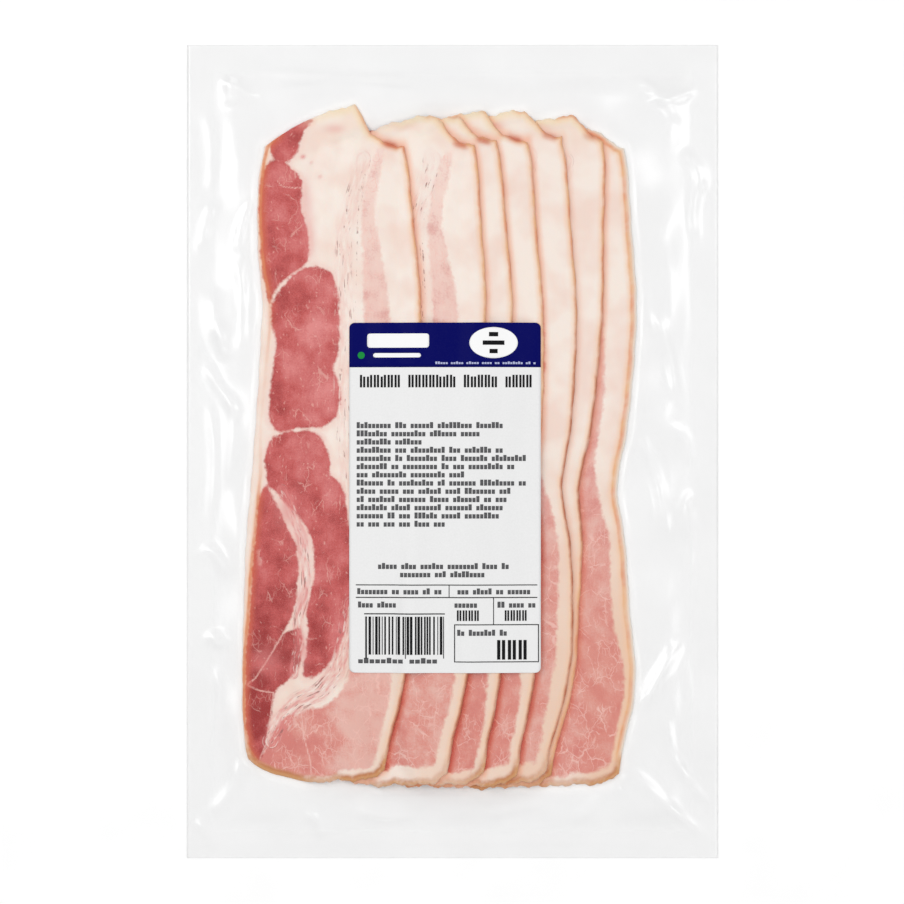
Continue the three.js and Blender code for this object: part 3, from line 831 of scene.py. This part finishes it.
creases = [    # start, end, height and half width of each fold in the loose film
    ((-73, 139), (-9, 138.5), 0.7, 2.0), ((-66, 134.5), (-12, 134), 0.6, 1.6),
    ((-84, 137), (-79, 128), 1.0, 3.0), ((-91, 128), (-88, 96), 0.6, 2.2),
    ((-87, 92), (-95, 74), 0.8, 2.0), ((-76, 92), (-79, 52), 0.5, 1.6),
    ((-88, 48), (-82, 34), 1.0, 2.6), ((-82, 23), (-82, -14), 0.6, 1.8),
    ((-89, 18), (-88, -28), 0.6, 1.6), ((-91, -34), (-83, -46), 0.9, 2.4),
    ((-88, -66), (-86, -73), 1.1, 2.6), ((-87, -79), (-87, -106), 0.6, 1.8),
    ((-77, -113), (-89, -136), 0.9, 2.2), ((-96, -136), (-86, -146), 0.6, 2.4),
    ((68, 139), (84, 122), 0.9, 1.8), ((70, 128), (90, 134), 0.7, 2.0),
    ((86, 112), (93, 96), 0.9, 2.4), ((89, 100), (90, 78), 0.7, 1.8),
    ((74, 56), (84, 17), 0.9, 2.0), ((70, 8), (80, -33), 0.9, 2.0),
    ((86, -14), (86, -33), 0.7, 1.8), ((84, -68), (70, -96), 1.0, 2.2),
    ((77, -97), (86, -121), 0.7, 1.8), ((66, -116), (95, -146), 0.8, 1.8),
    ((80, -112), (97, -132), 0.7, 1.6), ((60, -124), (44, -136), 0.8, 2.0),
    ((-36, -134), (-14, -134), 0.7, 1.6), ((-54, -132), (-47, -143), 0.9, 2.4),
    ((10, -133), (36, -131), 0.5, 2.0), ((-94, -144.5), (94, -145), 0.25, 1.2),
    ((-85, 137), (-71, 131), 1.0, 2.6), ((-75, 94), (-80, 72), 0.7, 1.4),
    ((-80, 74), (-76.5, 36), 0.6, 1.4), ((-90, 60), (-84, 38), 0.7, 3.5),
    ((-90, 33), (-80, 12), 0.8, 2.0), ((87, -20), (87.5, -48), 0.6, 2.2),
    ((82, 11), (88.5, -5), 0.6, 1.8), ((88, -76), (87, -100), 0.5, 2.0),
    ((82, -66), (70, -98), 0.6, 2.6), ((-44, -125), (-37, -126), 0.9, 1.2),
    ((7, -126), (13, -129), 0.9, 1.1), ((57, -122), (62, -125), 0.9, 1.1),
]


def creaseHeight(x, y):
    height = np.zeros(np.shape(x))
    bend, pace, ahead = film["foldBend"]
    ends, start = film["foldEnds"]
    for (ax, ay), (bx, by), peak, halfWidth in creases:
        length = math.hypot(bx - ax, by - ay)
        along = ((x - ax) * (bx - ax) + (y - ay) * (by - ay)) / length ** 2
        off = ((x - ax) * (by - ay) - (y - ay) * (bx - ax)) / length
        off = off + bend * np.sin(along * pace + peak * ahead)
        taper = ease(along / ends + start) * ease((1 - along) / ends + start)
        height += peak * taper * np.clip(1 - np.abs(off) / (2 * halfWidth), 0, 1) ** 2
    return height


def makeFilm(material):
    half, halfLength, drop = pouch["width"] / 2, pouch["length"] / 2, rasher["edgeDrop"]
    first, second = film["endRows"]
    rows = np.concatenate([[-halfLength, -halfLength + first],
                           np.arange(-halfLength + second, halfLength - film["lastRow"], film["step"]),
                           [halfLength - first, halfLength]])
    # columns run along the rashers' edges, so that the film's steps over them are clean
    edges = [np.full_like(rows, -half), ribEdge(rashers[0], rows) - drop, ribEdge(rashers[0], rows)]
    for one in rashers:
        edges += [rindEdge(one, rows), rindEdge(one, rows) + drop]
    edges.append(np.full_like(rows, half))
    columns = []
    for left, right in zip(edges, edges[1:]):
        count = max(2, round(float(np.mean(right - left)) / film["step"]))
        columns += [left + (right - left) * i / count for i in range(count)]
    x = np.stack(columns + edges[-1:], 1)
    y = np.repeat(rows[:, None], x.shape[1], 1)

    above, free = filmTop(x, y)
    inset = insetFrom(x, y)
    fold = creaseHeight(x, y) * free * fade(inset, *film["foldsFrom"])
    above = above - film["inside"] + fold
    below = fade(free, film["clings"], 1) * np.maximum(above - film["gap"], 0) + film["lies"]
    below = np.minimum(below, above - film["thinnest"])
    points, faces = closedSheet(x, y, above, below)
    made = makeObject("film", points, faces, material, "pouch")
    paintSheet(made, "seal", fade(inset - pouch["seal"], *film["sealLine"]))
    paintSheet(made, "loose", fade(free, *film["looseFrom"]))


# Label: white coated paper, printed and stuck on the film. Smooth and matt, so it reads flat.

def labelHeight(x, y):    # of the paper's underside
    return filmTop(x, y)[0] - film["inside"] + label["lift"]


def labelGrid(left, right, bottom, top, step, corner=0.0):
    width, height = right - left, top - bottom
    rows = np.linspace(bottom, top, max(2, round(height / step) + 1))
    if corner:
        arc = corner * (1 - np.cos(np.linspace(0, turn / 4, 6)))
        inner = np.linspace(bottom + corner, top - corner, max(2, round(height / step)))
        rows = np.concatenate([bottom + arc[:-1], inner, top - arc[-2::-1]])
    fromEnd = np.minimum(rows - bottom, top - rows)
    into = np.clip(corner - fromEnd, 0, corner)
    trim = corner - np.sqrt(corner ** 2 - into ** 2)
    share = np.linspace(0, 1, max(2, round(width / step) + 1))
    x = (left + trim)[:, None] + (width - 2 * trim)[:, None] * share
    return x, np.repeat(rows[:, None], len(share), 1)


def makeLabel(material):
    x, y = labelGrid(label["left"], label["right"], label["bottom"], label["top"], label["step"],
                     label["corner"])
    under = labelHeight(x, y)
    points, faces = closedSheet(x, y, under + label["paper"], under)
    makeObject("labelSheet", points, faces, material, "label")


# Print: places are millimetres from the label's left and top edges, as a printer would give them

printed = {
    "header": {"height": 16.4},
    "oval": {"middle": (53.1, 7.4), "radii": (8.9, 5.7), "bars": [(-3.1, 3.4), (0, 8.0), (3.1, 3.0)],
             "barHalf": 0.8},
    "mark": {"bars": [(6.6, 4.0, 22.8, 5.2), (8.8, 11.2, 17.6, 1.6)], "corner": 1.0,
             "disc": (4.4, 12.0, 1.3)},
    "headerLine": {"from": 31.6, "to": 68.8, "middle": 14.8, "height": 0.95, "pitch": 0.95},
    "title": {"from": 3.7, "middle": 21.5, "height": 4.6, "pitch": 2.55, "words": [6, 7, 5, 4],
              "strokes": (0.09, 0.55), "stroke": 0.31, "reaches": [0.5, 0.5, 0.36]},
    "body": {"from": 2.6, "first": 37.7, "lead": 3.02, "height": 2.2, "pitch": 1.42,
             "ends": [57.0, 50.4, 28.2, 57.4, 65.9, 61.4, 44.8, 65.5, 60.0, 58.5, 57.8, 57.8, 36.0]},
    "letters": {"counts": [2, 3, 4, 5, 6, 7, 8, 9], "heights": [0.72, 0.72, 0.72, 1.0], "gap": 0.1},
    "centred": [(10.5, 60.7, 89.5), (18.6, 52.2, 92.5)],
    "fields": [(2.8, 35.2, 98.8), (39.7, 68.1, 98.8), (3.1, 18.3, 103.7), (38.6, 48.2, 103.7),
               (54.4, 69.0, 103.7), (39.6, 58.9, 114.0)],
    "figures": [(39.4, 49.6, 107.7, 3.9), (57.0, 67.7, 107.7, 3.9), (54.0, 66.2, 120.3, 7.2)],
    "figure": {"pitch": 0.55, "strokes": ((0.1, 0.4), (0.55, 0.85))},
    "rules": [(2.4, 96.3, 69.2, 96.65), (2.4, 100.9, 69.2, 101.25), (36.6, 96.6, 36.9, 100.9),
              (52.95, 101.2, 53.25, 110.9), (5.5, 106.9, 35.2, 107.3)],
    "box": (38.6, 110.9, 69.8, 124.9, 0.35),
    "bars": {"from": 5.9, "to": 34.8, "top": 108.1, "bottom": 122.1, "guards": 123.5, "module": 0.305,
             "wide": [1, 1, 2, 2, 3], "apart": [1, 1, 2, 3], "past": 0.4,
             "guardEnds": (6.9, 33.4), "guardMiddle": (20.3, 0.6)},
    "underBars": {"from": 3.1, "to": 34.1, "middle": 124.3, "height": 2.0, "pitch": 2.1},
}
inks = {    # printing inks dry thin and matt
    "blue": "#01045a", "black": "#161618", "grey": "#5a5a5c", "white": "#f4f4f4", "green": "#1d8a3e",
    "paleBlue": "#b9bfe0",
}
inkFilm = {"speckle": 0.35, "paper": "#ededed", "shows": 0.008, "roughness": 0.45, "index": 1.48,
           "sheen": 0.05}
paper = {"dark": "#e5e5e5", "light": "#e9e9e9", "fibre": 0.6, "relief": 0.03, "roughness": 0.55,
         "index": 1.45}


class InkLayer:    # gathers the printed shapes of one colour
    def __init__(self, level=1):
        self.points, self.faces, self.level = [], [], level

    def sheet(self, x, y):
        base = labelHeight(x, y) + label["paper"] + label["ink"] * self.level
        points, faces = closedSheet(x, y, base + label["ink"], base)
        first = sum(len(p) for p in self.points)
        self.points.append(points)
        self.faces += [[first + i for i in face] for face in faces]

    def block(self, left, top, right, bottom, corner=0.0, step=1.2):
        x, y = labelGrid(label["left"] + left, label["left"] + right, label["top"] - bottom,
                         label["top"] - top, step, corner)
        self.sheet(x, y)

    def ellipse(self, middle, radii):
        across, along = np.meshgrid(np.linspace(-1, 1, 33), np.linspace(-1, 1, 17))
        x = label["left"] + middle[0] + radii[0] * across * np.sqrt(1 - along ** 2 / 2)
        y = label["top"] - middle[1] + radii[1] * along * np.sqrt(1 - across ** 2 / 2)
        self.sheet(x, y)

    def words(self, left, right, middle, height, pitch, rng):    # word shapes of plain blocks
        letters, x = printed["letters"], left
        while x < right - pitch:
            for _ in range(min(rng.choice(letters["counts"]), int((right - x) / pitch))):
                foot, tall = middle + height / 2, rng.choice(letters["heights"])
                self.block(x + letters["gap"] * pitch, foot - tall * height,
                           x + (1 - letters["gap"]) * pitch, foot)
                x += pitch
            x += pitch

    def finish(self, name, material):
        points = np.concatenate(self.points)
        makeObject(name, points, self.faces, material)


def paperMaterial():
    material, tree = newMaterial("coatedLabelPaper")    # white, smooth and matt, with a faint fibre
    place = addNode(tree, "TexCoord").outputs["Object"]
    fibre = addNode(tree, "TexNoise", {"Vector": place, "Scale": 1 / (paper["fibre"] * mm), "Detail": 3.0})
    colour = addNode(tree, "ValToRGB", {"Fac": fibre.outputs["Fac"]},
                     ramp=[(0.3, paper["dark"]), (0.7, paper["light"])])
    bump = addNode(tree, "Bump", {"Height": fibre.outputs["Fac"], "Strength": 0.1,
                                  "Distance": paper["relief"] * mm})
    surface = addNode(tree, "BsdfPrincipled", {"Base Color": colour, "Roughness": paper["roughness"],
                                               "Normal": bump, "IOR": paper["index"]})
    addNode(tree, "OutputMaterial", {"Surface": surface})
    return material


def inkMaterial(name, code):    # a little paper shows through it in specks
    material, tree = newMaterial(name)
    place = addNode(tree, "TexCoord").outputs["Object"]
    speckle = addNode(tree, "TexNoise", {"Vector": place, "Scale": 1 / (inkFilm["speckle"] * mm),
                                         "Detail": 2.0})
    shows = addNode(tree, "MapRange", {"Value": speckle.outputs["Fac"], "From Min": 0.5,
                                       "From Max": 0.9, "To Max": inkFilm["shows"]})
    colour = addNode(tree, "Mix", shows, code, inkFilm["paper"], **coloured)
    surface = addNode(tree, "BsdfPrincipled", {"Base Color": colour, "Roughness": inkFilm["roughness"],
                                               "IOR": inkFilm["index"],
                                               "Specular IOR Level": inkFilm["sheen"]})
    addNode(tree, "OutputMaterial", {"Surface": surface})
    return material


def makePrint():
    rng = random.Random(138)
    blue, black, grey, white, green, pale, barInk = (InkLayer(level) for level in (1, 1, 1, 2, 2, 2, 3))

    # header: rounded above with the label, square below
    headerFoot = label["top"] - printed["header"]["height"]
    x, y = labelGrid(label["left"], label["right"], label["bottom"], label["top"], label["step"],
                     label["corner"])
    kept = y[:, 0] > headerFoot
    x, y = x[kept], y[kept]
    y[0] = headerFoot
    blue.sheet(x, y)
    oval = printed["oval"]
    white.ellipse(oval["middle"], oval["radii"])
    for offset, length in oval["bars"]:
        middleX, middleY = oval["middle"][0], oval["middle"][1] + offset
        barInk.block(middleX - length / 2, middleY - oval["barHalf"],
                     middleX + length / 2, middleY + oval["barHalf"])
    mark = printed["mark"]
    for left, top, length, depth in mark["bars"]:
        white.block(left, top, left + length, top + depth, min(depth / 2, mark["corner"]), step=1.0)
    across, down, radius = mark["disc"]
    green.ellipse((across, down), (radius, radius))
    row = printed["headerLine"]
    pale.words(row["from"], row["to"], row["middle"], row["height"], row["pitch"], rng)

    # title: each place holds two upright strokes
    title = printed["title"]
    x, pitch = title["from"], title["pitch"]
    for word in title["words"]:
        for _ in range(word):
            for stroke in title["strokes"]:
                reach = rng.choice(title["reaches"])
                black.block(x + stroke * pitch, title["middle"] - reach * title["height"],
                            x + (stroke + title["stroke"]) * pitch, title["middle"] + title["height"] / 2)
            x += pitch
        x += pitch

    body = printed["body"]
    texts = [(body["from"], end, body["first"] + i * body["lead"]) for i, end in enumerate(body["ends"])]
    for left, right, middle in texts + printed["centred"] + printed["fields"]:
        grey.words(left, right, middle, body["height"], body["pitch"], rng)
    for left, right, middle, height in printed["figures"]:
        pitch = height * printed["figure"]["pitch"]
        for i in range(int((right - left) / pitch)):
            x = left + i * pitch
            for start, end in printed["figure"]["strokes"]:
                black.block(x + start * pitch, middle - height / 2, x + end * pitch, middle + height / 2)
    for left, top, right, bottom in printed["rules"]:
        black.block(left, top, right, bottom)
    left, top, right, bottom, rule = printed["box"]
    for side in ((left, top, right, top + rule), (left, bottom - rule, right, bottom),
                 (left, top + rule, left + rule, bottom - rule),
                 (right - rule, top + rule, right, bottom - rule)):
        black.block(*side)

    # bars that code nothing
    bars = printed["bars"]
    x, (firstGuard, lastGuard), (middleGuard, near) = bars["from"], bars["guardEnds"], bars["guardMiddle"]
    while x < bars["to"]:
        wide = bars["module"] * rng.choice(bars["wide"])
        guard = x < firstGuard or x > lastGuard or abs(x - middleGuard) < near
        black.block(x, bars["top"], min(x + wide, bars["to"] + bars["past"]),
                    bars["guards" if guard else "bottom"])
        x += wide + bars["module"] * rng.choice(bars["apart"])
    row = printed["underBars"]
    grey.words(row["from"], row["to"], row["middle"], row["height"], row["pitch"], rng)

    for name, layer, ink in (("headerPrint", blue, "blue"), ("blackPrint", black, "black"),
                             ("greyPrint", grey, "grey"), ("whitePrint", white, "white"),
                             ("greenPrint", green, "green"), ("palePrint", pale, "paleBlue"),
                             ("ovalPrint", barInk, "black")):
        layer.finish(name, inkMaterial(ink + "PrintingInk", inks[ink]))


# Studio: a white table under a bright even sky, and six soft boxes: four low ones round the pack and
# two narrow ones higher up at its sides, for the film's highlights

studio = {
    "table": ("#fbfbfb", "#fefefe"), "tableHalf": 4.0, "tableGrain": 25, "tableRoughness": 0.9,
    "sky": "#ffffff", "skyStrength": 0.58,
    "pixel": 0.369, "image": 904, "lens": 200, "sensor": 36, "middle": (-0.18, -0.18),
    "boxes": [    # place, size and watts of each soft box, in metres
        ((-0.75, 0.45, 0.85), (0.30, 0.9), 3.4),
        ((0.80, -0.25, 0.80), (0.25, 0.8), 2.0),
        ((0.10, 1.05, 0.75), (0.9, 0.22), 1.3),
        ((-0.10, -1.05, 0.75), (0.9, 0.22), 1.4),
        ((-0.62, 0.10, 1.20), (0.10, 0.8), 1.6),
        ((0.58, 0.25, 1.20), (0.08, 0.7), 1.4),
    ],
}


def makeTable():
    material, tree = newMaterial("whiteTable")    # white laminate, matt, with a faint grain
    place = addNode(tree, "TexCoord").outputs["Object"]
    grain = addNode(tree, "TexNoise", {"Vector": place, "Scale": 1 / (studio["tableGrain"] * mm),
                                       "Detail": 2.0})
    colour = addNode(tree, "ValToRGB", {"Fac": grain.outputs["Fac"]},
                     ramp=[(0.3, studio["table"][0]), (0.7, studio["table"][1])])
    surface = addNode(tree, "BsdfPrincipled", {"Base Color": colour, "Roughness": studio["tableRoughness"],
                                               "Specular IOR Level": 0.0})
    addNode(tree, "OutputMaterial", {"Surface": surface})
    half = studio["tableHalf"]
    mesh = bpy.data.meshes.new("table")
    mesh.from_pydata([(-half, -half, 0), (half, -half, 0), (half, half, 0), (-half, half, 0)], [],
                     [(0, 1, 2, 3)])
    mesh.materials.append(material)
    table = bpy.data.objects.new("table", mesh)
    bpy.context.scene.collection.objects.link(table)


def makeLights():
    world = bpy.data.worlds.new("studioSky")
    world.use_nodes = True
    sky = world.node_tree.nodes["Background"]
    sky.inputs["Color"].default_value = hexToLinear(studio["sky"])
    sky.inputs["Strength"].default_value = studio["skyStrength"]
    bpy.context.scene.world = world
    for i, (place, size, watts) in enumerate(studio["boxes"]):
        data = bpy.data.lights.new(f"softBox{i + 1}", "AREA")
        data.shape, data.size, data.size_y, data.energy = "RECTANGLE", size[0], size[1], watts
        box = bpy.data.objects.new(data.name, data)
        box.location = place
        box.rotation_euler = (-Vector(place)).to_track_quat("-Z", "Y").to_euler()
        bpy.context.scene.collection.objects.link(box)


def makeCamera():
    data = bpy.data.cameras.new("overhead")
    data.lens, data.sensor_width = studio["lens"], studio["sensor"]
    camera = bpy.data.objects.new("overhead", data)
    across = studio["image"] * studio["pixel"] * mm
    level = pouch["sealHeight"] * mm    # where the scale is the photo's
    camera.location = (studio["middle"][0] * mm, studio["middle"][1] * mm,
                       across * studio["lens"] / studio["sensor"] + level)
    bpy.context.scene.collection.objects.link(camera)
    bpy.context.scene.camera = camera


bacon = baconMaterial()
for number, one in enumerate(rashers):
    makeRasher(number, one, bacon)
print("rashers laid:", len(rashers))
makeFilm(filmMaterial())
print("film sealed over them")
makeLabel(paperMaterial())
makePrint()
print("label stuck on and printed")
makeTable()
makeLights()
makeCamera()
bpy.context.scene.view_settings.view_transform = "Standard"
print("studio set")
